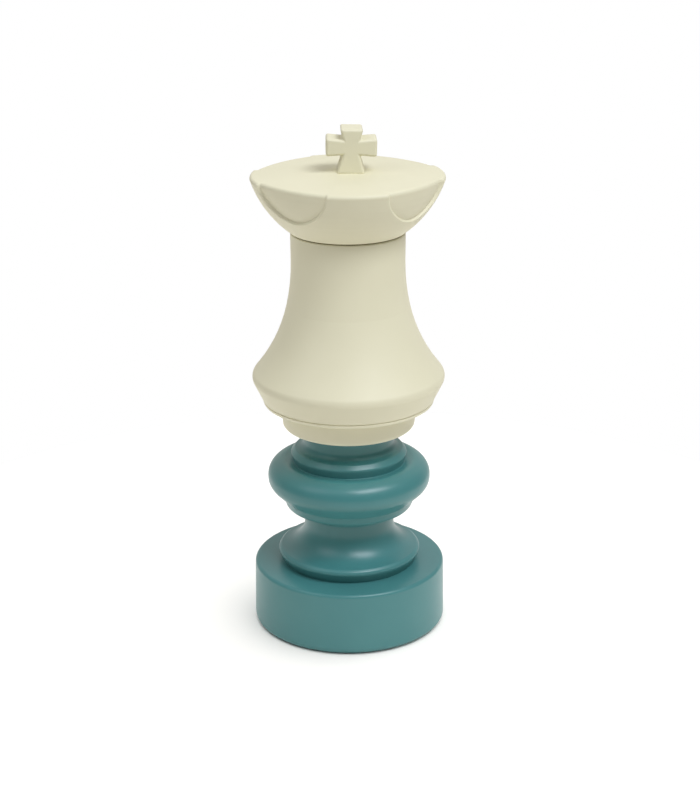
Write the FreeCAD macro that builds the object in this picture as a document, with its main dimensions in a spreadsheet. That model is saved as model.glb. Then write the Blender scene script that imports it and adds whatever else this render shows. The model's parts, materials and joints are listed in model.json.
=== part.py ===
"""A giant garden chess king, 635 mm tall, built up from moulded sections on one tie rod.

Everything is turned about the Z axis except the cross, the four scoops of the crown and the
fasteners.  Z = 0 is the ground, +Z is up, and the cross faces -Y.  Lengths are millimetres.
"""
import FreeCAD, Part
import math
import os

import Sketcher

# Points of the turned outlines: name -> (radius, height above the ground).
STATIONS = {
    # base drum, outside
    "drum_foot": (112.3, 1.5),
    "drum_side_low": (121.3, 10.5),
    "drum_side_high": (120.2, 75.5),
    "drum_top_edge": (115.2, 80.5),
    # stem, outside: foot ring and neck
    "foot_ring_crease": (86.3, 80.5),
    "foot_ring_belly": (90.2, 90.5),
    "foot_ring_crest": (85.6, 99.8),
    "neck_waist": (55.7, 135.5),
    "neck_top": (55.7, 139.5),
    # collar, outside: lip, torus, top ring, upper neck
    "collar_lip": (78.6, 155.2),
    "collar_side": (80.4, 157.4),
    "collar_crease": (83.0, 167.6),
    "torus_flank": (96.1, 180.7),
    "torus_belly": (101.4, 193.6),
    "torus_shoulder": (94.9, 207.4),
    "top_ring_crease": (71.4, 216.6),
    "top_ring_belly": (72.1, 223.4),
    "top_ring_crest": (69.9, 229.3),
    "upper_waist": (56.9, 245.6),
    "collar_top": (63.0, 260.5),
    # stem, inside
    "stem_cavity_low": (82.0, 86.0),
    "stem_cavity_ring": (81.0, 93.0),
    "stem_cavity_waist": (51.2, 134.0),
    # collar, inside
    "collar_cavity_foot": (47.2, 139.5),
    "collar_cavity_lip": (70.5, 160.7),
    "collar_cavity_flank": (89.5, 182.5),
    "collar_cavity_belly": (96.4, 193.6),
    "collar_cavity_shoulder": (90.0, 203.5),
    "collar_cavity_crease": (66.5, 211.5),
    "collar_cavity_crest": (65.0, 224.5),
    "collar_cavity_upper": (52.4, 245.0),
    "collar_cavity_top": (55.0, 255.0),
    # body base, outside
    "body_foot": (78.4, 260.5),
    "lower_ring_side": (82.4, 266.5),
    "lower_ring_top": (84.6, 295.0),
    # bell, outside: step, bell, neck
    "step_foot": (104.2, 295.0),
    "step_side": (107.1, 298.0),
    "step_top": (107.4, 300.0),
    "bell_under": (117.7, 320.9),
    "bell_belly": (119.0, 326.2),
    "bell_over": (116.6, 332.9),
    "bell_low": (90.9, 372.7),
    "bell_high": (76.6, 411.4),
    "bell_neck": (69.3, 481.6),
    "neck_side_top": (69.7, 506.5),
    "neck_rim": (68.2, 508.0),
    # bell, inside
    "bell_cavity_lip": (102.4, 302.0),
    "bell_cavity_under": (113.2, 323.0),
    "bell_cavity_over": (111.9, 332.5),
    "bell_cavity_low": (86.7, 372.0),
    "bell_cavity_high": (72.5, 411.0),
    "bell_cavity_neck": (65.5, 481.6),
    # crown, outside
    "crown_foot": (68.9, 509.6),
    "bowl_foot": (70.9, 510.6),
    "bowl_rim": (116.0, 571.5),
    "rim_side": (116.53, 574.2),
    "rim_top": (113.2, 577.4),
    # crown, inside
    "crown_cavity_low": (62.0, 514.0),
    "crown_cavity_rim": (97.0, 565.0),
    "crown_cavity_top": (94.0, 570.0),
    # floor of the scoops
    "scoop_low": (85.1, 528.0),
    "scoop_mid": (100.6, 552.0),
    "scoop_high": (107.5, 576.0),
}

# Every other driving dimension.
SIZES = {
    # base drum
    "drum_wall": 5.3,
    "drum_bore": 112.0,
    "drum_roof": 75.5,
    "ledge_bore": 97.0,
    "ledge_foot": 11.5,
    "ledge_top": 16.0,
    "ledge_haunch": 19.0,
    "boss_radius": 6.0,
    "boss_top": 34.0,
    "pilot_radius": 2.45,
    "spigot_hole": 40.0,
    # base plate, its gasket, screws and foot ring
    "plate_radius": 111.5,
    "plate_foot": 4.0,
    "plate_top": 10.0,
    "groove_depth": 2.0,
    "foot_ring_bore": 103.5,
    "foot_ring_rim": 109.5,
    "gasket_bore": 101.0,
    "screw_circle": 94.0,
    "screw_head_radius": 4.6,
    "screw_head_depth": 2.6,
    "screw_radius": 2.4,
    "screw_hole": 2.8,
    "screw_counterbore": 5.2,
    "screw_tip": 26.0,
    "screw_recess_radius": 1.6,
    "screw_recess_depth": 1.4,
    # filling port and plug
    "port_radius": 16.0,
    "port_collar": 22.0,
    "port_top": 18.0,
    "plug_radius": 15.94,
    "plug_top": 17.0,
    "plug_flange": 20.0,
    "plug_foot": 1.0,
    "plug_seat": 3.0,
    "plug_cup": 12.0,
    "plug_cup_floor": 5.0,
    "plug_seal_bore": 16.5,
    "plug_seal_rim": 19.5,
    "slot_length": 26.0,
    "slot_width": 3.0,
    "slot_depth": 1.2,
    # sand
    "sand_port_gap": 23.5,
    "sand_port_roof": 20.0,
    "sand_top": 50.0,
    # tie rod and its fasteners
    "rod_radius": 4.9,
    "rod_foot": 60.0,
    "rod_top": 286.0,
    "rod_hole": 5.5,
    "nut_bore": 5.0,
    "nut_corner": 9.8,
    "nut_height": 8.0,
    "spreader_radius": 48.0,
    "spreader_thick": 3.0,
    "tie_washer_radius": 15.0,
    "tie_washer_thick": 2.0,
    "tie_seal_thick": 3.0,
    # joints between the sections
    "stem_spigot": 39.7,
    "stem_spigot_foot": 76.0,
    "stem_groove_bore": 60.0,
    "stem_groove_rim": 66.0,
    "section_groove_depth": 1.2,
    "collar_spigot": 51.2,
    "collar_spigot_foot": 131.5,
    "top_spigot": 38.0,
    "top_spigot_end": 263.5,
    "body_socket": 38.3,
    "body_socket_end": 263.8,
    "body_groove_bore": 46.0,
    "body_groove_rim": 52.0,
    "body_floor": 268.5,
    "body_lip_bore": 76.8,
    "body_lip_rim": 80.4,
    "body_lip_top": 303.0,
    "bell_flange_top": 299.5,
    # crown fit
    "crown_spigot": 64.7,
    "crown_spigot_bore": 60.0,
    "crown_spigot_foot": 491.6,
    "crown_bore_top": 511.5,
    "crown_seal_bore": 65.6,
    "crown_seal_rim": 67.9,
    "crown_floor_foot": 493.6,
    "crown_floor_top": 496.6,
    "crown_boss_radius": 14.0,
    "crown_boss_foot": 566.0,
    "crown_underside": 573.0,
    "crown_peak": 583.0,
    "finial_hole": 2.8,
    # scoops
    "scoop_height": 575.0,
    "scoop_half_width": 53.0,
    "scoop_half_height": 38.5,
    "scoop_start": 65.0,
    "scoop_run": 65.0,
    "scoop_band": 128.0,
    "scoop_band_top": 590.0,
    # cross
    "cross_thick": 36.0,
    "cross_foot": 580.5,
    "cross_top": 635.0,
    "cross_foot_half": 16.6,
    "cross_stem_half": 10.7,
    "cross_crotch_low": 604.6,
    "cross_crotch_high": 620.0,
    "cross_arm_half": 28.9,
    "cross_arm_low": 602.9,
    "cross_arm_high": 621.9,
    "cross_head_neck": 10.8,
    "cross_head_half": 12.5,
    "cross_edge_round": 2.2,
    "seat_gap": 0.2,
    # cross fixing
    "insert_radius": 4.2,
    "insert_bore": 2.6,
    "insert_foot": 582.0,
    "insert_top": 598.0,
    "finial_screw_radius": 2.5,
    "finial_screw_top": 597.0,
    "finial_head_radius": 4.3,
    "finial_head_height": 5.0,
    "finial_washer_radius": 8.0,
    "finial_washer_thick": 1.5,
    "pin_radius": 2.0,
    "pin_offset": 9.0,
    "pin_foot": 573.0,
    "pin_top": 588.0,
}

SCREW_COUNT = 6
SCOOP_COUNT = 4
TOLERANCE = 1e-6

doc = FreeCAD.newDocument("GardenKing")


def make_sheet():
    """Write every driving dimension into one spreadsheet, as plain numbers with aliases."""
    sheet = doc.addObject("Spreadsheet::Sheet", "Sizes")
    numbers = dict(SIZES)
    for name, (radius, height) in STATIONS.items():
        numbers[name + "_r"] = radius
        numbers[name + "_z"] = height
    for row, (name, number) in enumerate(numbers.items(), start=1):
        sheet.set("A%d" % row, name)
        sheet.set("B%d" % row, str(number))
        sheet.setAlias("B%d" % row, name)
    doc.recompute()
    return numbers


NUMBERS = make_sheet()


def value(terms):
    """Number of a sum of size names, such as 'plate_foot + groove_depth'."""
    total = 0.0
    sign = 1.0
    for term in terms.split():
        if term == "+":
            sign = 1.0
        elif term == "-":
            sign = -1.0
        else:
            total += sign * NUMBERS[term]
    return total


def bound(terms):
    """The same sum as an expression over the spreadsheet."""
    return " ".join(term if term in "+-" else "Sizes." + term for term in terms.split())


def origin_plane(body, role):
    """Origin plane of a body, found by its role."""
    for feature in body.Origin.OriginFeatures:
        if feature.Role == role:
            return feature
    raise RuntimeError("no origin plane " + role)


def new_body(label):
    """Empty PartDesign body."""
    body = doc.addObject("PartDesign::Body", label)
    body.Label = label
    return body


def new_sketch(body, name, role, lift=None):
    """Sketch on an origin plane of its body, lifted along the plane's normal by a size sum."""
    sketch = body.newObject("Sketcher::SketchObject", name)
    sketch.AttachmentSupport = (origin_plane(body, role), [""])
    sketch.MapMode = "FlatFace"
    if lift:
        sketch.setExpression("AttachmentOffset.Base.z", bound(lift))
    return sketch


def pin_point(sketch, geometry, end, across, up):
    """Fix one end point of a sketch line or arc at two size sums; None is the axis."""
    if across is None:
        sketch.addConstraint(Sketcher.Constraint("PointOnObject", geometry, end, -2))
    else:
        index = sketch.addConstraint(
            Sketcher.Constraint("DistanceX", -1, 1, geometry, end, signed(across)))
        sketch.setExpression("Constraints[%d]" % index, signed_bound(across))
    if up is None:
        sketch.addConstraint(Sketcher.Constraint("PointOnObject", geometry, end, -1))
    else:
        index = sketch.addConstraint(
            Sketcher.Constraint("DistanceY", -1, 1, geometry, end, signed(up)))
        sketch.setExpression("Constraints[%d]" % index, signed_bound(up))


def signed(terms):
    """Value of a size sum that may be mirrored: 'mirror NAME' is minus NAME."""
    if terms.startswith("mirror "):
        return -value(terms[7:])
    return value(terms)


def signed_bound(terms):
    """Expression of a size sum that may be mirrored."""
    if terms.startswith("mirror "):
        return "-(" + bound(terms[7:]) + ")"
    return bound(terms)


def place(corner):
    """Size sums of a corner: a station's name, or a pair of sums."""
    if isinstance(corner, str):
        return corner + "_r", corner + "_z"
    return corner


def point(corner):
    """Coordinates of a corner."""
    across, up = place(corner)
    x = 0.0 if across is None else signed(across)
    y = 0.0 if up is None else signed(up)
    return FreeCAD.Vector(x, y, 0)


def arc_centre(start, finish, tangent, at_start):
    """Centre of the arc from start to finish whose tangent is known at one of them."""
    known, other = (start, finish) if at_start else (finish, start)
    normal = FreeCAD.Vector(-tangent.y, tangent.x, 0).normalize()
    chord = other - known
    reach = chord.dot(chord) / (2 * chord.dot(normal))
    return known + normal * reach


class Outline:
    """Closed outline of lines and arcs.

    Each item is a corner, or a corner and the kind of arc that leaves it.  Every arc runs
    from corner to corner, and its kind says where its heading comes from: "after" follows
    on smoothly from the edge before it, "before" runs smoothly into the edge after it, and
    "from upright" and "to upright" start and finish parallel to the axis.
    """

    KINDS = ("after", "before", "from upright", "to upright")
    AT_START = ("after", "from upright")

    def __init__(self, items):
        self.corners = []
        self.kinds = []
        for item in items:
            curved = isinstance(item, tuple) and item[-1] in self.KINDS
            self.corners.append(item[0] if curved else item)
            self.kinds.append(item[-1] if curved else "line")
        self.points = [point(corner) for corner in self.corners]
        self.count = len(self.points)
        self.solved = {}

    def ends(self, index):
        """Start and finish of an edge."""
        return self.points[index], self.points[(index + 1) % self.count]

    def tangent(self, index):
        """Heading that an arc has at the end where its kind fixes it."""
        kind = self.kinds[index]
        start, finish = self.ends(index)
        if kind == "after":
            return self.heading((index - 1) % self.count, True)
        if kind == "before":
            return self.heading((index + 1) % self.count, False)
        return FreeCAD.Vector(0, math.copysign(1.0, finish.y - start.y), 0)

    def heading(self, index, at_finish):
        """Heading of any edge at its start or finish."""
        start, finish = self.ends(index)
        if self.kinds[index] == "line":
            return (finish - start).normalize()
        centre, turn = self.arc(index)
        spoke = (finish if at_finish else start) - centre
        return FreeCAD.Vector(-spoke.y * turn, spoke.x * turn, 0).normalize()

    def arc(self, index):
        """Centre of an arc and its turn, +1 anticlockwise or -1 clockwise."""
        if index not in self.solved:
            start, finish = self.ends(index)
            at_start = self.kinds[index] in self.AT_START
            tangent = self.tangent(index)
            centre = arc_centre(start, finish, tangent, at_start)
            spoke = (start if at_start else finish) - centre
            turn = 1 if spoke.x * tangent.y - spoke.y * tangent.x > 0 else -1
            self.solved[index] = (centre, turn)
        return self.solved[index]

    def add_edge(self, sketch, index):
        """Draw one edge; gives its number and which of its ends are start and finish."""
        start, finish = self.ends(index)
        if self.kinds[index] == "line":
            return sketch.addGeometry(Part.LineSegment(start, finish), False), 1, 2
        centre, turn = self.arc(index)
        first, last = (start, finish) if turn > 0 else (finish, start)
        circle = Part.Circle(centre, FreeCAD.Vector(0, 0, 1), (start - centre).Length)
        begin = math.atan2(first.y - centre.y, first.x - centre.x)
        stop = math.atan2(last.y - centre.y, last.x - centre.x)
        if stop < begin:
            stop += 2 * math.pi
        geometry = sketch.addGeometry(Part.ArcOfCircle(circle, begin, stop), False)
        return (geometry, 1, 2) if turn > 0 else (geometry, 2, 1)

    def draw(self, sketch):
        """Draw the outline and tie every corner and arc to the spreadsheet."""
        edges = [self.add_edge(sketch, index) for index in range(self.count)]
        for index, (geometry, start, finish) in enumerate(edges):
            previous, _, previous_finish = edges[index - 1]
            smooth = self.kinds[index] == "after" or self.kinds[index - 1] == "before"
            joint = "Tangent" if smooth else "Coincident"
            sketch.addConstraint(
                Sketcher.Constraint(joint, previous, previous_finish, geometry, start))
            pin_point(sketch, geometry, start, *place(self.corners[index]))
            if self.kinds[index] in ("from upright", "to upright"):
                end = start if self.kinds[index] == "from upright" else finish
                sketch.addConstraint(
                    Sketcher.Constraint("Horizontal", geometry, 3, geometry, end))
        if sketch.solve() != 0:
            raise RuntimeError("sketch does not solve: " + sketch.Label)


def turned(label, outline):
    """Body made by turning a closed outline about the Z axis."""
    body = new_body(label)
    sketch = new_sketch(body, label + "_outline", "XZ_Plane")
    Outline(outline).draw(sketch)
    turn = body.newObject("PartDesign::Revolution", label + "_turn")
    turn.Profile = sketch
    turn.ReferenceAxis = (sketch, ["V_Axis"])
    turn.Angle = 360
    body.Tip = turn
    return body


def ring(label, bore, rim, foot, top):
    """Flat ring, or a disc when bore is None."""
    return turned(label, [(bore, foot), (rim, foot), (rim, top), (bore, top)])


def circle_sketch(body, name, lift, radius, across=None):
    """Circle on a level plane, centred on the axis or 'across' away from it along X."""
    sketch = new_sketch(body, name, "XY_Plane", lift)
    centre = FreeCAD.Vector(value(across) if across else 0, 0, 0)
    circle = Part.Circle(centre, FreeCAD.Vector(0, 0, 1), value(radius))
    sketch.addGeometry(circle, False)
    index = sketch.addConstraint(Sketcher.Constraint("Radius", 0, value(radius)))
    sketch.setExpression("Constraints[%d]" % index, bound(radius))
    pin_point(sketch, 0, 3, across, None)
    return sketch


def extruded(body, kind, sketch, length, downwards=False):
    """Pad or Pocket of a sketch over a size sum, upwards unless told otherwise."""
    feature = body.newObject("PartDesign::" + kind, sketch.Name + "_" + kind.lower())
    feature.Profile = sketch
    feature.setExpression("Length", bound(length))
    # a pad grows along the sketch's normal and a pocket cuts against it
    feature.Reversed = downwards if kind == "Pad" else not downwards
    body.Tip = feature
    return feature


def patterned(body, features, count):
    """Polar pattern of features about the Z axis."""
    pattern = body.newObject("PartDesign::PolarPattern", features[0].Name + "_pattern")
    pattern.Originals = features
    pattern.Axis = (features[0].Profile[0], ["N_Axis"])
    pattern.Angle = 360
    pattern.Occurrences = count
    body.Tip = pattern
    return pattern


def cylinder(name, radius, foot, top, across=None):
    """Upright Part cylinder between two heights."""
    tube = doc.addObject("Part::Cylinder", name)
    tube.setExpression("Radius", bound(radius))
    tube.setExpression("Height", bound(top) + " - (" + bound(foot) + ")")
    tube.setExpression("Placement.Base.z", bound(foot))
    if across:
        tube.setExpression("Placement.Base.x", signed_bound(across))
    return tube


def cut(label, base, tool):
    """Base less tool."""
    result = doc.addObject("Part::Cut", label)
    result.Label = label
    result.Base = base
    result.Tool = tool
    return result


def fuse(name, shapes):
    """Union of shapes."""
    result = doc.addObject("Part::MultiFuse", name)
    result.Shapes = shapes
    return result


def group(label, members):
    """Separate solids kept in one sub-part."""
    result = doc.addObject("Part::Compound", label)
    result.Label = label
    result.Links = members
    return result


def base_drum():
    """Drum open underneath, with a ledge, six screw bosses and a hole for the stem."""
    body = turned("base_drum", [
        ("drum_bore", "drum_foot_z"),
        ("drum_foot", "before"),
        "drum_side_low",
        ("drum_side_high", "after"),
        "drum_top_edge",
        ("spigot_hole", "drum_top_edge_z"),
        ("spigot_hole", "drum_roof"),
        ("drum_side_high_r - drum_wall", "drum_roof"),
        ("drum_side_high_r - drum_wall", "ledge_haunch"),
        ("drum_bore", "ledge_top"),
        ("ledge_bore", "ledge_top"),
        ("ledge_bore", "ledge_foot"),
        ("drum_bore", "ledge_foot"),
    ])
    boss = circle_sketch(body, "boss_circle", "ledge_foot", "boss_radius", "screw_circle")
    bosses = extruded(body, "Pad", boss, "boss_top - ledge_foot")
    patterned(body, [bosses], SCREW_COUNT)
    pilot = circle_sketch(body, "pilot_circle", "ledge_foot", "pilot_radius", "screw_circle")
    pilots = extruded(body, "Pocket", pilot, "screw_tip - ledge_foot")
    patterned(body, [pilots], SCREW_COUNT)
    return body


def base_plate():
    """Plate with a groove for the foot ring, a collared filling port and six screw holes."""
    groove_top = "plate_foot + groove_depth"
    body = turned("base_plate", [
        ("port_radius", "plate_foot"),
        ("foot_ring_bore", "plate_foot"),
        ("foot_ring_bore", groove_top),
        ("foot_ring_rim", groove_top),
        ("foot_ring_rim", "plate_foot"),
        ("plate_radius", "plate_foot"),
        ("plate_radius", "plate_top"),
        ("port_collar", "plate_top"),
        ("port_collar", "port_top"),
        ("port_radius", "port_top"),
    ])
    bore = circle_sketch(body, "screw_hole_circle", "plate_foot", "screw_hole", "screw_circle")
    bores = extruded(body, "Pocket", bore, "plate_top - plate_foot")
    patterned(body, [bores], SCREW_COUNT)
    seat = circle_sketch(
        body, "screw_seat_circle", "plate_foot", "screw_counterbore", "screw_circle")
    seats = extruded(body, "Pocket", seat, "screw_head_depth")
    patterned(body, [seats], SCREW_COUNT)
    return body


def base_plate_screws():
    """Six pan-head screws up through the base plate into the drum's bosses."""
    screws = []
    for number in range(SCREW_COUNT):
        name = "screw_%d_" % (number + 1)
        seat = "plate_foot + screw_head_depth"
        head = cylinder(name + "head", "screw_head_radius", "plate_foot", seat)
        shank = cylinder(name + "shank", "screw_radius", seat, "screw_tip")
        recess = cylinder(
            name + "recess", "screw_recess_radius", "plate_foot",
            "plate_foot + screw_recess_depth")
        screw = cut(name + "solid", fuse(name + "blank", [head, shank]), recess)
        angle = "%g" % (number * 360 / SCREW_COUNT)
        screw.setExpression("Placement.Base.x", "Sizes.screw_circle * cos(" + angle + ")")
        screw.setExpression("Placement.Base.y", "Sizes.screw_circle * sin(" + angle + ")")
        screws.append(screw)
    return group("base_plate_screws", screws)


def fill_plug():
    """Screw plug of the filling port: a flange with a coin slot and a hollow shank."""
    body = turned("fill_plug", [
        (None, "plug_foot"),
        ("plug_flange", "plug_foot"),
        ("plug_flange", "plug_seat"),
        ("plug_radius", "plug_seat"),
        ("plug_radius", "plug_top"),
        ("plug_cup", "plug_top"),
        ("plug_cup", "plug_cup_floor"),
        (None, "plug_cup_floor"),
    ])
    slot = new_sketch(body, "slot_outline", "XY_Plane", "plug_foot")
    draw_rectangle(slot, "slot_length", "slot_width")
    extruded(body, "Pocket", slot, "slot_depth")
    return body


def draw_rectangle(sketch, length, width):
    """Rectangle centred on the origin, length along X and width along Y."""
    half_x = value(length) / 2
    half_y = value(width) / 2
    corners = [(-half_x, -half_y), (half_x, -half_y), (half_x, half_y), (-half_x, half_y)]
    vectors = [FreeCAD.Vector(x, y, 0) for x, y in corners]
    for index in range(4):
        sketch.addGeometry(Part.LineSegment(vectors[index], vectors[(index + 1) % 4]), False)
    for index in range(4):
        joint = Sketcher.Constraint("Coincident", index, 2, (index + 1) % 4, 1)
        sketch.addConstraint(joint)
        level = "Horizontal" if index % 2 == 0 else "Vertical"
        sketch.addConstraint(Sketcher.Constraint(level, index))
    sketch.addConstraint(Sketcher.Constraint("Symmetric", 0, 1, 1, 2, -1, 1))
    along = sketch.addConstraint(Sketcher.Constraint("DistanceX", 0, 1, 0, 2, 2 * half_x))
    sketch.setExpression("Constraints[%d]" % along, bound(length))
    aside = sketch.addConstraint(Sketcher.Constraint("DistanceY", 1, 1, 1, 2, 2 * half_y))
    sketch.setExpression("Constraints[%d]" % aside, bound(width))
    if sketch.solve() != 0:
        raise RuntimeError("rectangle does not solve: " + sketch.Label)


def sand_ballast():
    """Dry sand poured in round the bosses, short of the plug and of the tie rod."""
    body = turned("sand_ballast", [
        (None, "sand_port_roof"),
        ("sand_port_gap", "sand_port_roof"),
        ("sand_port_gap", "plate_top"),
        ("ledge_bore", "plate_top"),
        ("ledge_bore", "ledge_top"),
        ("drum_bore", "ledge_top"),
        ("drum_side_high_r - drum_wall", "ledge_haunch"),
        ("drum_side_high_r - drum_wall", "sand_top"),
        (None, "sand_top"),
    ])
    boss = circle_sketch(body, "boss_gap_circle", "plate_top", "boss_radius", "screw_circle")
    gaps = extruded(body, "Pocket", boss, "boss_top - plate_top")
    patterned(body, [gaps], SCREW_COUNT)
    return body


def hex_nut(label, foot):
    """Hexagon nut with its lower face at a height."""
    prism = doc.addObject("Part::Prism", label + "_prism")
    prism.Polygon = 6
    prism.setExpression("Circumradius", "Sizes.nut_corner")
    prism.setExpression("Height", "Sizes.nut_height")
    prism.setExpression("Placement.Base.z", bound(foot))
    bore = cylinder(label + "_bore", "nut_bore", foot, foot + " + nut_height")
    return cut(label, prism, bore)


def tie_rod_stack():
    """Rod through every section, with its nuts, washers and the spreader plate."""
    spreader_foot = "drum_roof - spreader_thick"
    floor = "body_floor"
    seal_top = floor + " + tie_seal_thick"
    washer_top = seal_top + " + tie_washer_thick"
    return [
        ring("tie_rod", None, "rod_radius", "rod_foot", "rod_top"),
        ring("spreader_plate", "rod_hole", "spreader_radius", spreader_foot, "drum_roof"),
        hex_nut("bottom_nut", spreader_foot + " - nut_height"),
        ring("tie_seal_washer", "rod_hole", "tie_washer_radius", floor, seal_top),
        ring("top_washer", "rod_hole", "tie_washer_radius", seal_top, washer_top),
        hex_nut("top_nut", washer_top),
    ]


def stem_shell():
    """Hollow stem: a spigot for the drum, the foot ring and the neck."""
    groove_top = "foot_ring_crease_z + section_groove_depth"
    return turned("stem_shell", [
        ("rod_hole", "stem_spigot_foot"),
        ("stem_spigot", "stem_spigot_foot"),
        ("stem_spigot", "foot_ring_crease_z"),
        ("stem_groove_bore", "foot_ring_crease_z"),
        ("stem_groove_bore", groove_top),
        ("stem_groove_rim", groove_top),
        ("stem_groove_rim", "foot_ring_crease_z"),
        ("foot_ring_crease", "to upright"),
        ("foot_ring_belly", "from upright"),
        ("foot_ring_crest", "to upright"),
        "neck_waist",
        "neck_top",
        ("collar_spigot", "neck_top_z"),
        ("stem_cavity_waist", "from upright"),
        "stem_cavity_ring",
        "stem_cavity_low",
        ("rod_hole", "stem_cavity_low_z"),
    ])


def collar_shell():
    """Hollow collar: a spigot for the neck, the lip, torus, top ring and upper neck."""
    return turned("collar_shell", [
        ("collar_cavity_foot_r", "collar_spigot_foot"),
        ("collar_spigot", "collar_spigot_foot"),
        ("collar_spigot", "neck_top_z"),
        ("neck_top", "from upright"),
        ("collar_lip", "before"),
        "collar_side",
        "collar_crease",
        ("torus_flank", "after"),
        ("torus_belly", "after"),
        ("torus_shoulder", "after"),
        ("top_ring_crease", "to upright"),
        ("top_ring_belly", "from upright"),
        ("top_ring_crest", "to upright"),
        ("upper_waist", "from upright"),
        "collar_top",
        ("top_spigot", "collar_top_z"),
        ("top_spigot", "top_spigot_end"),
        ("rod_hole", "top_spigot_end"),
        ("rod_hole", "collar_cavity_top_z"),
        "collar_cavity_top",
        ("collar_cavity_upper", "from upright"),
        "collar_cavity_crest",
        "collar_cavity_crease",
        "collar_cavity_shoulder",
        "collar_cavity_belly",
        "collar_cavity_flank",
        ("collar_cavity_lip", "to upright"),
        "collar_cavity_foot",
    ])


def body_base():
    """Cup under the bell: socket and floor, the lower ring and a lip that centres the bell."""
    groove_top = "body_foot_z + section_groove_depth"
    return turned("body_base", [
        ("rod_hole", "body_socket_end"),
        ("body_socket", "body_socket_end"),
        ("body_socket", "body_foot_z"),
        ("body_groove_bore", "body_foot_z"),
        ("body_groove_bore", groove_top),
        ("body_groove_rim", groove_top),
        ("body_groove_rim", "body_foot_z"),
        ("body_foot", "before"),
        "lower_ring_side",
        "lower_ring_top",
        ("body_lip_rim", "lower_ring_top_z"),
        ("body_lip_rim", "body_lip_top"),
        ("body_lip_bore", "body_lip_top"),
        ("body_lip_bore", "body_floor"),
        ("rod_hole", "body_floor"),
    ])


def bell_shell():
    """Bell-shaped body: flange and step below, the bell and its open neck."""
    return turned("bell_shell", [
        ("body_lip_rim", "step_foot_z"),
        ("step_foot", "before"),
        "step_side",
        "step_top",
        ("bell_under", "to upright"),
        ("bell_belly", "from upright"),
        ("bell_over", "before"),
        ("bell_low", "before"),
        ("bell_high", "to upright"),
        "bell_neck",
        ("neck_side_top", "after"),
        "neck_rim",
        ("bell_cavity_neck_r", "neck_rim_z"),
        ("bell_cavity_neck", "from upright"),
        ("bell_cavity_high", "after"),
        ("bell_cavity_low", "after"),
        "bell_cavity_over",
        "bell_cavity_under",
        "bell_cavity_lip",
        ("body_lip_rim", "bell_flange_top"),
    ])


def scoop_tool(number):
    """Elliptical bar that marks out one scoop, lying half way between two ribs."""
    ellipse = doc.addObject("Part::Ellipse", "scoop_ellipse_%d" % number)
    ellipse.setExpression("MajorRadius", "Sizes.scoop_half_width")
    ellipse.setExpression("MinorRadius", "Sizes.scoop_half_height")
    degrees = (number + 0.5) * 360 / SCOOP_COUNT
    angle = math.radians(degrees)
    outward = FreeCAD.Vector(math.cos(angle), math.sin(angle), 0)
    sideways = FreeCAD.Vector(-math.sin(angle), math.cos(angle), 0)
    upward = FreeCAD.Vector(0, 0, 1)
    turn = FreeCAD.Rotation(sideways, upward, outward, "ZXY")
    ellipse.Placement = FreeCAD.Placement(FreeCAD.Vector(0, 0, 0), turn)
    ellipse.setExpression("Placement.Base.x", "Sizes.scoop_start * cos(%g)" % degrees)
    ellipse.setExpression("Placement.Base.y", "Sizes.scoop_start * sin(%g)" % degrees)
    ellipse.setExpression("Placement.Base.z", "Sizes.scoop_height")
    bar = doc.addObject("Part::Extrusion", "scoop_bar_%d" % number)
    bar.Base = ellipse
    bar.DirMode = "Custom"
    bar.Dir = outward
    bar.setExpression("LengthFwd", "Sizes.scoop_run")
    bar.Solid = True
    return bar


def crown_shell():
    """Hollow crown: spigot, bowl with four scoops, low domed top with a seat for the cross."""
    blank = turned("crown_blank", [
        ("crown_spigot_bore", "crown_spigot_foot"),
        ("crown_spigot", "crown_spigot_foot"),
        ("crown_spigot", "crown_foot_z"),
        "crown_foot",
        ("bowl_foot", "before"),
        ("bowl_rim", "to upright"),
        ("rim_side", "from upright"),
        "rim_top",
        ("finial_hole", "crown_peak"),
        ("finial_hole", "crown_boss_foot"),
        ("crown_boss_radius", "crown_boss_foot"),
        ("crown_boss_radius", "crown_underside"),
        "crown_cavity_top",
        "crown_cavity_rim",
        "crown_cavity_low",
        ("crown_spigot_bore", "crown_bore_top"),
    ])
    band = turned("scoop_band", [
        "scoop_low",
        ("scoop_mid", "after"),
        "scoop_high",
        ("scoop_high_r", "scoop_band_top"),
        ("scoop_band", "scoop_band_top"),
        ("scoop_band", "scoop_low_z"),
    ])
    bars = fuse("scoop_bars", [scoop_tool(number) for number in range(SCOOP_COUNT)])
    scoops = doc.addObject("Part::Common", "scoops")
    scoops.Base = band
    scoops.Tool = bars
    seat = doc.addObject("Part::Box", "cross_seat")
    seat.setExpression("Length", "2 * (Sizes.cross_foot_half + Sizes.seat_gap)")
    seat.setExpression("Width", "Sizes.cross_thick + 2 * Sizes.seat_gap")
    seat.setExpression("Height", "Sizes.crown_peak - Sizes.cross_foot")
    seat.setExpression("Placement.Base.x", "-Sizes.cross_foot_half - Sizes.seat_gap")
    seat.setExpression("Placement.Base.y", "-Sizes.cross_thick / 2 - Sizes.seat_gap")
    seat.setExpression("Placement.Base.z", "Sizes.cross_foot")
    holes = pin_pair("crown_pin_hole", "pin_foot", "crown_peak")
    return cut("crown_shell", blank, fuse("crown_cuts", [scoops, seat] + holes))


def pin_pair(name, foot, top):
    """Two upright cylinders, one each side of the crown's centre."""
    left = cylinder(name + "_left", "pin_radius", foot, top, "mirror pin_offset")
    right = cylinder(name + "_right", "pin_radius", foot, top, "pin_offset")
    return [left, right]


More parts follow.
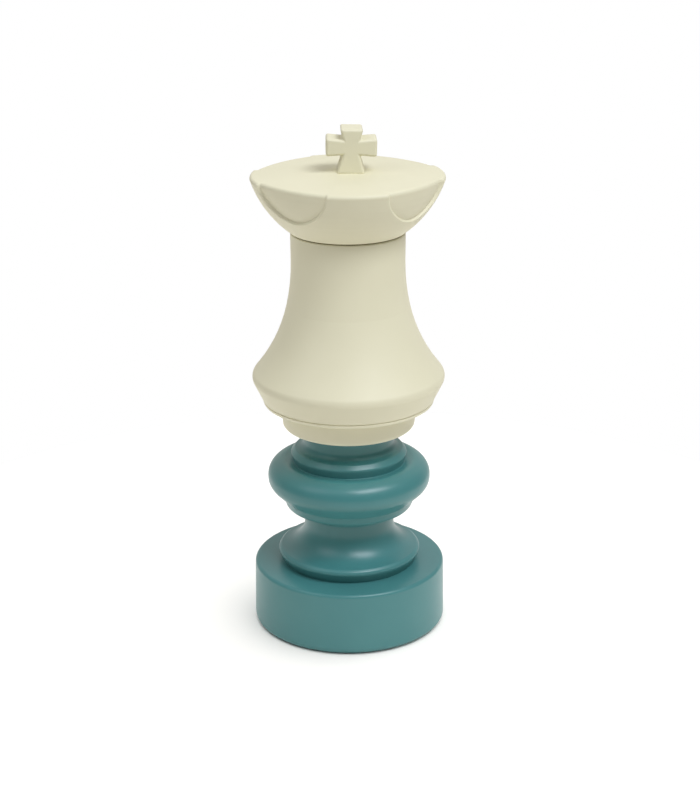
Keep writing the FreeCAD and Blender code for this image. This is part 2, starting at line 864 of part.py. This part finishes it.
def finial_cross():
    """Thick cross with flared arms, drilled underneath for its insert and pins."""
    body = new_body("cross_blank")
    sketch = new_sketch(body, "cross_outline", "XZ_Plane")
    right_side = [
        ("cross_foot_half", "cross_foot"),
        ("cross_stem_half", "cross_crotch_low"),
        ("cross_arm_half", "cross_arm_low"),
        ("cross_arm_half", "cross_arm_high"),
        ("cross_head_neck", "cross_crotch_high"),
        ("cross_head_half", "cross_top"),
    ]
    left_side = [("mirror " + across, up) for across, up in reversed(right_side)]
    Outline(right_side + left_side).draw(sketch)
    pad = body.newObject("PartDesign::Pad", "cross_pad")
    pad.Profile = sketch
    pad.setExpression("Length", "Sizes.cross_thick")
    pad.SideType = "Symmetric"
    body.Tip = pad
    doc.recompute()
    foot = value("cross_foot")
    edges = [
        "Edge%d" % (index + 1)
        for index, edge in enumerate(pad.Shape.Edges)
        if edge.BoundBox.ZMax > foot + TOLERANCE
    ]
    soften = body.newObject("PartDesign::Fillet", "cross_edges")
    soften.Base = (pad, edges)
    soften.setExpression("Radius", "Sizes.cross_edge_round")
    body.Tip = soften
    bore = cylinder("cross_insert_hole", "insert_radius", "cross_foot", "insert_top")
    holes = pin_pair("cross_pin_hole", "cross_foot", "pin_top")
    return cut("finial_cross", body, fuse("cross_holes", [bore] + holes))


def finial_fixings():
    """Screw, washer, threaded insert and two pins that hold the cross to the crown."""
    washer_foot = "crown_boss_foot - finial_washer_thick"
    head_foot = washer_foot + " - finial_head_height"
    screw = turned("finial_screw", [
        (None, head_foot),
        ("finial_head_radius", head_foot),
        ("finial_head_radius", washer_foot),
        ("finial_screw_radius", washer_foot),
        ("finial_screw_radius", "finial_screw_top"),
        (None, "finial_screw_top"),
    ])
    return [
        screw,
        ring("finial_washer", "finial_hole", "finial_washer_radius",
             washer_foot, "crown_boss_foot"),
        ring("finial_insert", "insert_bore", "insert_radius", "insert_foot", "insert_top"),
        group("finial_pins", pin_pair("finial_pin", "pin_foot", "pin_top")),
    ]


def seals_and_discs():
    """Gaskets, seals, the rubber foot ring and the disc that closes the crown."""
    groove_top = " + section_groove_depth"
    return [
        ring("foot_ring", "foot_ring_bore", "foot_ring_rim",
             None, "plate_foot + groove_depth"),
        ring("base_plate_gasket", "gasket_bore", "plate_radius", "plate_top", "ledge_foot"),
        ring("fill_plug_seal", "plug_seal_bore", "plug_seal_rim", "plug_seat", "plate_foot"),
        ring("stem_gasket", "stem_groove_bore", "stem_groove_rim",
             "foot_ring_crease_z", "foot_ring_crease_z" + groove_top),
        ring("body_gasket", "body_groove_bore", "body_groove_rim",
             "body_foot_z", "body_foot_z" + groove_top),
        ring("crown_seal", "crown_seal_bore", "crown_seal_rim", "neck_rim_z", "crown_foot_z"),
        ring("crown_floor", None, "crown_spigot_bore", "crown_floor_foot", "crown_floor_top"),
    ]


def build():
    """Every sub-part of the piece, from the ground up."""
    parts = [base_drum(), base_plate(), base_plate_screws(), fill_plug(), sand_ballast()]
    parts += tie_rod_stack()
    parts += [stem_shell(), collar_shell(), body_base(), bell_shell()]
    parts += [crown_shell(), finial_cross()]
    parts += finial_fixings()
    parts += seals_and_discs()
    return parts


def check(parts):
    """Stop if any object failed or any sub-part is empty, broken or not solid."""
    for thing in doc.Objects:
        if "Invalid" in thing.State or "Error" in thing.State:
            raise RuntimeError("failed object: " + thing.Label)
    for part in parts:
        shape = part.Shape
        if shape.isNull() or not shape.isValid() or not shape.Solids:
            raise RuntimeError("bad shape: " + part.Label)


def export(parts):
    """Write each sub-part to its own STEP file."""
    os.makedirs("parts", exist_ok=True)
    for part in parts:
        part.Shape.exportStep("parts/" + part.Label + ".step")
        box = part.Shape.BoundBox
        print("%-18s solids %d  volume %10.1f  z %6.1f to %6.1f" % (
            part.Label, len(part.Shape.Solids), part.Shape.Volume, box.ZMin, box.ZMax))


sub_parts = build()
doc.recompute()
check(sub_parts)
export(sub_parts)
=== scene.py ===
import json
import math

import bmesh
import bpy
from mathutils import Matrix, Vector


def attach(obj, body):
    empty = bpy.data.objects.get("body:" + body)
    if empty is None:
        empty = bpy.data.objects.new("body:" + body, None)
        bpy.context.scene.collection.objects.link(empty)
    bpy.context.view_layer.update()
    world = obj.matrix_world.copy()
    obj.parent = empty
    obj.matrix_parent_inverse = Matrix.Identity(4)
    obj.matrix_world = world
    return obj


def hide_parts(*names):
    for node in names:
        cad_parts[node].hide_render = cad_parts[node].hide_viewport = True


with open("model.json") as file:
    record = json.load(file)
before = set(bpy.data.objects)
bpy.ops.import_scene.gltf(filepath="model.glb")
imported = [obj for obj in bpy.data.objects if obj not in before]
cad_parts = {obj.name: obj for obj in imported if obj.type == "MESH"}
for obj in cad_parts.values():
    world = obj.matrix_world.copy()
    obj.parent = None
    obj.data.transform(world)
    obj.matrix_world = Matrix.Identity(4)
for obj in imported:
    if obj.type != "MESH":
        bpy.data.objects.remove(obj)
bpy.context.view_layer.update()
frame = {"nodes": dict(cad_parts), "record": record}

# The object's shapes are in millimetres, and MM turns them into metres. The stage is in metres.
MM = 0.001
AROUND = 360
CROWN_AROUND = 1152
ARC_STEP = math.radians(4)
ARC_FEWEST = 3
NEARLY_STRAIGHT = 1e-4
SHARP_ANGLE = math.radians(35)

# Outlines of the turned pieces, as (radius, height, rounding) corners, in order round the shell.
DRUM = (
    (112.0, 16.0, 0.0),
    (112.0, 1.0, 0.5),
    (121.35, 1.0, 6.5),
    (120.2, 80.5, 4.5),
    (40.0, 80.5, 0.5),
    (40.0, 75.5, 0.5),
    (115.0, 75.5, 3.0),
    (115.0, 19.0, 0.0),
)
STEM = (
    (5.5, 76.0, 0.0),
    (39.7, 76.0, 0.5),
    (39.7, 80.5, 0.0),
    # foot ring, undercut below
    (83.6, 80.5, 0.3),
    (91.0, 95.2, 5.0),
    (86.0, 99.2, 3.0),
    # neck
    (56.9, 104.4, 34.0),
    (55.9, 157.0, 14.0),
    # collar
    (78.6, 153.6, 6.0),
    (83.3, 166.6, 0.8),
    # torus
    (101.9, 185.0, 18.5),
    (102.1, 206.6, 20.0),
    (84.0, 216.6, 14.0),
    # upper ring, standing in the shallow valley of the torus
    (70.4, 213.8, 0.6),
    (72.8, 225.2, 3.0),
    (67.6, 231.2, 3.5),
    # upper neck, flaring out under the body
    (57.0, 233.5, 9.0),
    (57.0, 253.0, 12.0),
    (63.0, 260.5, 0.0),
    (38.0, 260.5, 0.0),
    (38.0, 263.5, 0.4),
    (5.5, 263.5, 0.0),
)
BODY = (
    (5.5, 263.8, 0.0),
    (38.3, 263.8, 0.0),
    (38.3, 260.5, 0.3),
    # lower ring
    (82.0, 260.5, 6.0),
    (84.6, 292.8, 0.6),
    # step, with a fine parting line above its lower edge
    (105.2, 292.8, 2.0),
    (106.4, 296.6, 0.6),
    (105.2, 297.7, 0.3),
    (107.2, 298.8, 0.6),
    (107.9, 301.2, 1.0),
    # bell and straight neck
    (120.9, 327.5, 11.0),
    (85.5, 371.7, 197.0),
    (69.3, 443.7, 250.0),
    (69.7, 508.0, 1.4),
    # inside
    (65.5, 508.0, 0.8),
    (65.5, 443.7, 250.0),
    (81.4, 370.5, 190.0),
    (114.0, 328.5, 6.0),
    (103.0, 302.0, 5.0),
    (80.4, 299.5, 5.0),
    (78.4, 268.5, 4.0),
    (5.5, 268.5, 0.0),
)
CROWN = (
    # spigot
    (60.0, 491.6, 0.5),
    (64.7, 491.6, 0.8),
    (64.7, 509.6, 0.0),
    # bowl, rim and low domed top
    (69.9, 509.6, 1.0),
    (103.2, 534.0, 130.0),
    (118.4, 577.9, 3.8),
    (0.0, 583.0, 0.0),
    # inside
    (0.0, 573.0, 0.0),
    (94.0, 570.0, 3.0),
    (97.0, 565.0, 3.0),
    (60.0, 511.5, 3.0),
)

# The crown's scoops. Each is a superellipse, widest at SCOOP_HEIGHT, and it fades out on the top.
SCOOPS = 4
SCOOP_HALF_WIDTH = 53.8
SCOOP_HALF_HEIGHT = 41.0
SCOOP_HEIGHT = 575.0
SCOOP_POWER = 1.7
SCOOP_DEPTH_EDGE = 3.9
SCOOP_DEPTH_RIM = 8.0
SCOOP_WALL = 3.0
SCOOP_MIDDLE = 0.3
TOP_FADE_START = 112.0
TOP_FADE_END = 88.0

# The part of the crown's outline that needs close rows of points.
FINE_ROW = 0.7
FINE_ABOVE = 520.0
FINE_OUTSIDE = 84.0

# The cross: right half of its front as (sideways, height), then how it stands on the crown.
CROSS_RIGHT_HALF = (
    (17.0, 580.6), (10.2, 603.4), (30.2, 601.8),
    (30.2, 623.4), (10.2, 621.6), (13.8, 634.5),
)
CROSS_HALF_THICK = 18.0
CROSS_EDGE = 3.2
CROSS_EDGE_ROWS = 6
CROSS_TURN = math.radians(-4.5)
CROSS_LEAN = math.radians(1.2)
CROSS_ASIDE = 3.6

# Each visible piece's material, the CAD nodes it stands for, the body it rides on, its slot.
RIGGING = {
    "drum": ("teal", ("base_drum",), "standing_piece", "teal_body"),
    "stem": ("teal", ("stem_shell", "collar_shell"), "standing_piece", "teal_body"),
    "body": ("cream", ("body_base", "bell_shell"), "standing_piece", "cream_body"),
    "crown": ("cream", ("crown_shell",), "crown", "cream_body"),
    "cross": ("cream", ("finial_cross",), "crown", "cream_body"),
}

# Noise scales, in lumps per metre.
SLOW_TONE = 14
SLOW_GLOSS = 60
MOULDED_GRAIN = 900
PART_TONE = 40
PART_GLOSS = 90
PART_GRAIN = 1200
SAND_GRAIN = 700
FLOOR_TONE = 3
NOISE_DETAIL = 3.0
# Noise levels at which a drifting colour is wholly its dark tone and wholly its light one.
TONE_DARK_AT = 0.3
TONE_LIGHT_AT = 0.7

# Shell plastic: dark and light tone, low and high roughness, grain height in metres.
SHELL_FINISHES = {
    "teal": ((0.055, 0.210, 0.214), (0.061, 0.222, 0.224), (0.31, 0.37), 0.00002),
    "cream": ((0.752, 0.721, 0.525), (0.772, 0.741, 0.545), (0.50, 0.60), 0.00003),
}
# Other parts: colour, roughness, metallic, grain scale, grain height in metres.
PART_FINISHES = {
    "olive_seal": ((0.26, 0.22, 0.11), 0.7, 0.0, PART_GRAIN, 0.00002),
    "black_plastic": ((0.03, 0.03, 0.032), 0.45, 0.0, PART_GRAIN, 0.00002),
    "seal_rubber": ((0.025, 0.024, 0.022), 0.7, 0.0, PART_GRAIN, 0.00002),
    "zinc_steel": ((0.62, 0.62, 0.60), 0.32, 1.0, PART_GRAIN, 0.00002),
    "brass_insert": ((0.72, 0.55, 0.25), 0.3, 1.0, PART_GRAIN, 0.00002),
    "dry_sand": ((0.55, 0.45, 0.30), 0.9, 0.0, SAND_GRAIN, 0.0004),
}
PART_DARKEST = 0.88
PART_GLOSS_BELOW = 0.05
PART_GLOSS_ABOVE = 0.08
# CAD nodes whose finish isn't the one of their slot.
NODE_FINISHES = {"crown_seal": "olive_seal"}
SLOT_FINISHES = {"teal_body": "teal", "cream_body": "cream"}

FLOOR_RADIUS = 0.75
FLOOR_AROUND = 96
FLOOR_TONES = ((0.935,) * 3, (0.945,) * 3)
FLOOR_ROUGHNESS = 0.9

# Studio surround. Each part grows from none to its strength as a direction's axis goes from a
# first to a second value, and the parts add up.
SKY_COLOR = (1.02, 0.99, 0.96, 1)
SKY_BASE = 0.12
SKY_PARTS = {
    "overhead": ("Z", 0.15, 0.85, 0.28),
    "behind": ("Y", 0.2, 0.95, 0.6),
    "right": ("X", 0.2, 0.95, 0.10),
    "left": ("X", -0.2, -0.95, 0.12),
    "below": ("Z", 0.0, -0.4, 0.45),
}

# Softboxes: width and depth, power, tint, place, and the point that each faces.
COOL = (0.96, 0.99, 1.06)
WARM = (1.0, 0.985, 0.965)
PIECE_LIGHTS = {
    "key": ((2.2, 1.1), 86, COOL, (1.15, -1.63, 3.21), (0, 0, 0.3)),
    "fill": ((1.2, 1.2), 6.5, COOL, (-1.45, -0.75, 1.9), (0, 0, 0.4)),
}
FLOOR_LIGHTS = {
    "floor_wash": ((4.0, 4.0), 110, WARM, (0.5, -0.2, 2.3), (0, 0, 0)),
}

CAMERA_AZIMUTH = math.radians(-6.0)
CAMERA_PLACE = (0.00166, -2.0713, 1.0389)
CAMERA_TILT = math.radians(90 - 19.80)
CAMERA_ROLL = math.radians(-0.24)
CAMERA_LENS = 79.78
CAMERA_REACH = 50


# ------------------------------------------------------------------ shapes
def rounded(corners):
    """Points of a closed outline whose corners are turned into arcs tangent to both edges."""
    points = []
    for index, (radius, height, rounding) in enumerate(corners):
        here = Vector((radius, height))
        back = Vector(corners[index - 1][:2]) - here
        ahead = Vector(corners[(index + 1) % len(corners)][:2]) - here
        opening = back.angle(ahead)
        if rounding <= 0 or math.pi - opening < NEARLY_STRAIGHT:
            points.append(here)
            continue
        back.normalize()
        ahead.normalize()
        reach = rounding / math.tan(opening / 2)
        centre = here + (back + ahead).normalized() * (rounding / math.sin(opening / 2))
        first = here + back * reach - centre
        last = here + ahead * reach - centre
        begin = math.atan2(first.y, first.x)
        sweep = math.atan2(first.x * last.y - first.y * last.x, first.dot(last))
        steps = max(ARC_FEWEST, math.ceil(abs(sweep) / ARC_STEP))
        for step in range(steps + 1):
            angle = begin + sweep * step / steps
            points.append(centre + Vector((math.cos(angle), math.sin(angle))) * rounding)
    return points


def refined(points, longest, wanted):
    """The same closed outline with edges cut to a length wherever both ends are wanted."""
    result = []
    for index, here in enumerate(points):
        ahead = points[(index + 1) % len(points)]
        result.append(here)
        if wanted(here) and wanted(ahead):
            cuts = math.ceil((ahead - here).length / longest)
            result += [here.lerp(ahead, cut / cuts) for cut in range(1, cuts)]
    return result


def add_object(name, data):
    """New object in the scene, for a mesh, a light or a camera."""
    made = bpy.data.objects.new(name, data)
    bpy.context.scene.collection.objects.link(made)
    return made


def shade_smooth(mesh):
    """Smooth shading on every face."""
    mesh.polygons.foreach_set("use_smooth", [True] * len(mesh.polygons))


def turned(name, points, around=AROUND, reshape=None):
    """Solid made by turning a closed outline about Z; reshape may move each point inwards."""
    vertices = []
    rows = []
    for radius, height in points:
        if radius <= 0:
            rows.append([len(vertices)] * around)
            vertices.append((0, 0, height * MM))
            continue
        rows.append(list(range(len(vertices), len(vertices) + around)))
        for step in range(around):
            angle = 2 * math.pi * step / around
            reach = reshape(radius, height, angle) if reshape else radius
            vertices.append(
                (reach * math.cos(angle) * MM, reach * math.sin(angle) * MM, height * MM))
    faces = []
    for lower, upper in zip(rows, rows[1:] + rows[:1]):
        if lower[0] == lower[1] and upper[0] == upper[1]:
            continue
        for step in range(around):
            ahead = (step + 1) % around
            ring = [lower[step], lower[ahead], upper[ahead], upper[step]]
            faces.append(list(dict.fromkeys(ring)))
    mesh = bpy.data.meshes.new(name)
    mesh.from_pydata(vertices, [], faces)
    mesh.validate()
    shade_smooth(mesh)
    mesh.set_sharp_from_angle(angle=SHARP_ANGLE)
    return add_object(name, mesh)


def smooth_step(amount):
    """0 below 0, 1 above 1, and an S-curve between."""
    amount = min(1.0, max(0.0, amount))
    return amount * amount * (3 - 2 * amount)


# ------------------------------------------------------------------ pieces
def scooped(radius, height, angle):
    """Radius of the crown at a point once the four scoops are pressed in."""
    if height < SCOOP_HEIGHT - SCOOP_HALF_HEIGHT - 1 or radius < TOP_FADE_END:
        return radius
    sector = 2 * math.pi / SCOOPS
    offset = (angle % sector) - sector / 2
    across = abs(radius * math.sin(offset)) / SCOOP_HALF_WIDTH
    down = max(0.0, SCOOP_HEIGHT - height) / SCOOP_HALF_HEIGHT
    size = (across ** SCOOP_POWER + down ** SCOOP_POWER) ** (1 / SCOOP_POWER)
    if size >= 1:
        return radius
    # How far in from the scoop's edge. Around its middle that is always past the wall.
    from_edge = SCOOP_WALL
    if size > SCOOP_MIDDLE:
        from_middle = math.hypot(across * SCOOP_HALF_WIDTH, down * SCOOP_HALF_HEIGHT)
        from_edge = (1 - size) * from_middle / size
    hollow = max(0.0, 1 - across * across) * max(0.0, 1 - down)
    depth = SCOOP_DEPTH_EDGE + (SCOOP_DEPTH_RIM - SCOOP_DEPTH_EDGE) * hollow
    fade = 1.0
    if height > SCOOP_HEIGHT:
        fade = smooth_step((radius - TOP_FADE_END) / (TOP_FADE_START - TOP_FADE_END))
    return radius - depth * fade * smooth_step(from_edge / SCOOP_WALL)


def crown():
    """Crown, with the scoops pressed into its bowl."""
    def needs_detail(point):
        return point.y > FINE_ABOVE and point.x > FINE_OUTSIDE

    fine = refined(rounded(CROWN), FINE_ROW, needs_detail)
    return turned("crown", fine, CROWN_AROUND, scooped)


def cross():
    """Thick cross with flared arms and rounded edges, a little off straight."""
    outline = list(CROSS_RIGHT_HALF) + [(-x, z) for x, z in reversed(CROSS_RIGHT_HALF)]
    shape = bmesh.new()
    front = [shape.verts.new((x * MM, -CROSS_HALF_THICK * MM, z * MM)) for x, z in outline]
    face = shape.faces.new(front)
    extruded = bmesh.ops.extrude_face_region(shape, geom=[face])["geom"]
    back = [item for item in extruded if isinstance(item, bmesh.types.BMVert)]
    bmesh.ops.translate(shape, verts=back, vec=(0, 2 * CROSS_HALF_THICK * MM, 0))
    bmesh.ops.recalc_face_normals(shape, faces=shape.faces)
    bmesh.ops.bevel(
        shape, geom=list(shape.edges), offset=CROSS_EDGE * MM, offset_type="OFFSET",
        segments=CROSS_EDGE_ROWS, profile=0.5, affect="EDGES", clamp_overlap=True)
    foot = Vector((0, 0, CROSS_RIGHT_HALF[0][1] * MM))
    turn = Matrix.Rotation(CROSS_TURN, 4, "Z") @ Matrix.Rotation(CROSS_LEAN, 4, "Y")
    seat = Matrix.Translation(foot + Vector((CROSS_ASIDE * MM, 0, 0)))
    bmesh.ops.transform(
        shape, matrix=seat @ turn @ Matrix.Translation(-foot), verts=list(shape.verts))
    mesh = bpy.data.meshes.new("cross")
    shape.to_mesh(mesh)
    shape.free()
    shade_smooth(mesh)
    piece = add_object("cross", mesh)
    normals = piece.modifiers.new("flat faces stay flat", "WEIGHTED_NORMAL")
    normals.keep_sharp = True
    return piece


# ------------------------------------------------------------------ materials
def new_material(name, color, roughness):
    """Principled material, its nodes and links, and its shader."""
    material = bpy.data.materials.new(name)
    material.use_nodes = True
    nodes = material.node_tree.nodes
    shader = nodes["Principled BSDF"]
    shader.inputs["Base Color"].default_value = (*color, 1)
    shader.inputs["Roughness"].default_value = roughness
    return material, nodes, material.node_tree.links, shader


def add_noise(nodes, links, scale):
    """Noise over the object's own coordinates; scale is in lumps per metre."""
    place = nodes.new("ShaderNodeTexCoord")
    noise = nodes.new("ShaderNodeTexNoise")
    noise.inputs["Scale"].default_value = scale
    noise.inputs["Detail"].default_value = NOISE_DETAIL
    links.new(place.outputs["Object"], noise.inputs["Vector"])
    return noise


def vary_color(nodes, links, shader, scale, dark, light):
    """Drift the base colour between two close tones."""
    ramp = nodes.new("ShaderNodeValToRGB")
    darkest, lightest = ramp.color_ramp.elements
    darkest.position = TONE_DARK_AT
    darkest.color = (*dark, 1)
    lightest.position = TONE_LIGHT_AT
    lightest.color = (*light, 1)
    noise = add_noise(nodes, links, scale)
    links.new(noise.outputs["Fac"], ramp.inputs["Fac"])
    links.new(ramp.outputs["Color"], shader.inputs["Base Color"])


def vary_roughness(nodes, links, shader, scale, low, high):
    """Let the gloss wander a little."""
    span = nodes.new("ShaderNodeMapRange")
    span.inputs["To Min"].default_value = low
    span.inputs["To Max"].default_value = high
    noise = add_noise(nodes, links, scale)
    links.new(noise.outputs["Fac"], span.inputs["Value"])
    links.new(span.outputs["Result"], shader.inputs["Roughness"])


def add_bump(nodes, links, shader, scale, height):
    """Fine surface texture of a height in metres."""
    bump = nodes.new("ShaderNodeBump")
    bump.inputs["Strength"].default_value = 1.0
    bump.inputs["Distance"].default_value = height
    noise = add_noise(nodes, links, scale)
    links.new(noise.outputs["Fac"], bump.inputs["Height"])
    links.new(bump.outputs["Normal"], shader.inputs["Normal"])


def shell_material(name):
    """Moulded shell plastic: slow drift of tone, wandering gloss, fine grain."""
    dark, light, (low, high), grain_height = SHELL_FINISHES[name]
    material, nodes, links, shader = new_material(name, light, high)
    vary_color(nodes, links, shader, SLOW_TONE, dark, light)
    vary_roughness(nodes, links, shader, SLOW_GLOSS, low, high)
    add_bump(nodes, links, shader, MOULDED_GRAIN, grain_height)
    return material


def part_material(name):
    """Rubber, metal, sand or plain plastic of a smaller part."""
    color, roughness, metallic, grain, grain_height = PART_FINISHES[name]
    material, nodes, links, shader = new_material(name, color, roughness)
    shader.inputs["Metallic"].default_value = metallic
    darker = [channel * PART_DARKEST for channel in color]
    vary_color(nodes, links, shader, PART_TONE, darker, color)
    low, high = roughness - PART_GLOSS_BELOW, roughness + PART_GLOSS_ABOVE
    vary_roughness(nodes, links, shader, PART_GLOSS, low, high)
    add_bump(nodes, links, shader, grain, grain_height)
    return material


def paint(piece, material):
    """One material over the whole piece."""
    piece.data.materials.clear()
    piece.data.materials.append(material)


# ------------------------------------------------------------------ stage
def add_floor():
    """Round pale floor, large enough to catch every shadow."""
    mesh = bpy.data.meshes.new("floor")
    angles = [2 * math.pi * step / FLOOR_AROUND for step in range(FLOOR_AROUND)]
    rim = [(FLOOR_RADIUS * math.cos(a), FLOOR_RADIUS * math.sin(a), 0) for a in angles]
    mesh.from_pydata(rim, [], [list(range(FLOOR_AROUND))])
    floor = add_object("floor", mesh)
    dark, light = FLOOR_TONES
    material, nodes, links, shader = new_material("pale_floor", light, FLOOR_ROUGHNESS)
    shader.inputs["Specular IOR Level"].default_value = 0.0
    vary_color(nodes, links, shader, FLOOR_TONE, dark, light)
    paint(floor, material)
    return floor


def add_lights(softboxes, group, members):
    """Soft rectangular lights that light only some objects."""
    lit = bpy.data.collections.new(group)
    for member in members:
        lit.objects.link(member)
    for name, (size, power, tint, place, target) in softboxes.items():
        data = bpy.data.lights.new(name, "AREA")
        data.shape = "RECTANGLE"
        data.size, data.size_y = size
        data.energy = power
        data.color = tint
        light = add_object(name, data)
        facing = Vector(target) - Vector(place)
        light.location = place
        light.rotation_euler = facing.to_track_quat("-Z", "Y").to_euler()
        light.light_linking.receiver_collection = lit


def add_world():
    """Studio surround: bright overhead and behind, dim in front, white to the eye."""
    world = bpy.data.worlds.new("studio")
    bpy.context.scene.world = world
    world.use_nodes = True
    nodes = world.node_tree.nodes
    links = world.node_tree.links
    surround = nodes["Background"]
    surround.inputs["Color"].default_value = SKY_COLOR
    place = nodes.new("ShaderNodeTexCoord")
    axes = nodes.new("ShaderNodeSeparateXYZ")
    links.new(place.outputs["Generated"], axes.inputs["Vector"])
    base = nodes.new("ShaderNodeValue")
    base.outputs["Value"].default_value = SKY_BASE
    total = base.outputs["Value"]
    for axis, low, high, strength in SKY_PARTS.values():
        span = nodes.new("ShaderNodeMapRange")
        span.interpolation_type = "SMOOTHSTEP"
        span.inputs["From Min"].default_value = low
        span.inputs["From Max"].default_value = high
        span.inputs["To Max"].default_value = strength
        links.new(axes.outputs[axis], span.inputs["Value"])
        add = nodes.new("ShaderNodeMath")
        links.new(span.outputs["Result"], add.inputs[0])
        links.new(total, add.inputs[1])
        total = add.outputs["Value"]
    links.new(total, surround.inputs["Strength"])
    white = nodes.new("ShaderNodeBackground")
    white.inputs["Color"].default_value = (1, 1, 1, 1)
    path = nodes.new("ShaderNodeLightPath")
    either = nodes.new("ShaderNodeMixShader")
    links.new(path.outputs["Is Camera Ray"], either.inputs["Fac"])
    links.new(surround.outputs["Background"], either.inputs[1])
    links.new(white.outputs["Background"], either.inputs[2])
    links.new(either.outputs["Shader"], nodes["World Output"].inputs["Surface"])


def add_camera():
    """Camera above and in front, looking down at the piece."""
    data = bpy.data.cameras.new("camera")
    data.lens = CAMERA_LENS
    data.clip_end = CAMERA_REACH
    camera = add_object("camera", data)
    azimuth = Matrix.Rotation(CAMERA_AZIMUTH, 4, "Z")
    tilt = Matrix.Rotation(CAMERA_TILT, 4, "X")
    roll = Matrix.Rotation(CAMERA_ROLL, 4, "Z")
    camera.matrix_world = azimuth @ Matrix.Translation(CAMERA_PLACE) @ tilt @ roll
    bpy.context.scene.camera = camera


# ------------------------------------------------------------------ assembly
bpy.context.scene.view_settings.view_transform = "Standard"

finishes = {name: shell_material(name) for name in SHELL_FINISHES}
finishes.update({name: part_material(name) for name in PART_FINISHES})

visible = {
    "drum": turned("drum", rounded(DRUM)),
    "stem": turned("stem", rounded(STEM)),
    "body": turned("body", rounded(BODY)),
    "crown": crown(),
    "cross": cross(),
}
for name, piece in visible.items():
    finish, nodes, carrier, slot = RIGGING[name]
    paint(piece, finishes[finish])
    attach(piece, carrier)
    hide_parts(*nodes)

cad_nodes = []
for part in frame["record"]["subparts"]:
    slot = part["material_slot"]
    finish = NODE_FINISHES.get(part["node"], SLOT_FINISHES.get(slot, slot))
    paint(frame["nodes"][part["node"]], finishes[finish])
    cad_nodes.append(frame["nodes"][part["node"]])

add_world()
floor = add_floor()
add_lights(PIECE_LIGHTS, "lit_piece", [*visible.values(), *cad_nodes])
add_lights(FLOOR_LIGHTS, "lit_floor", [floor])
add_camera()
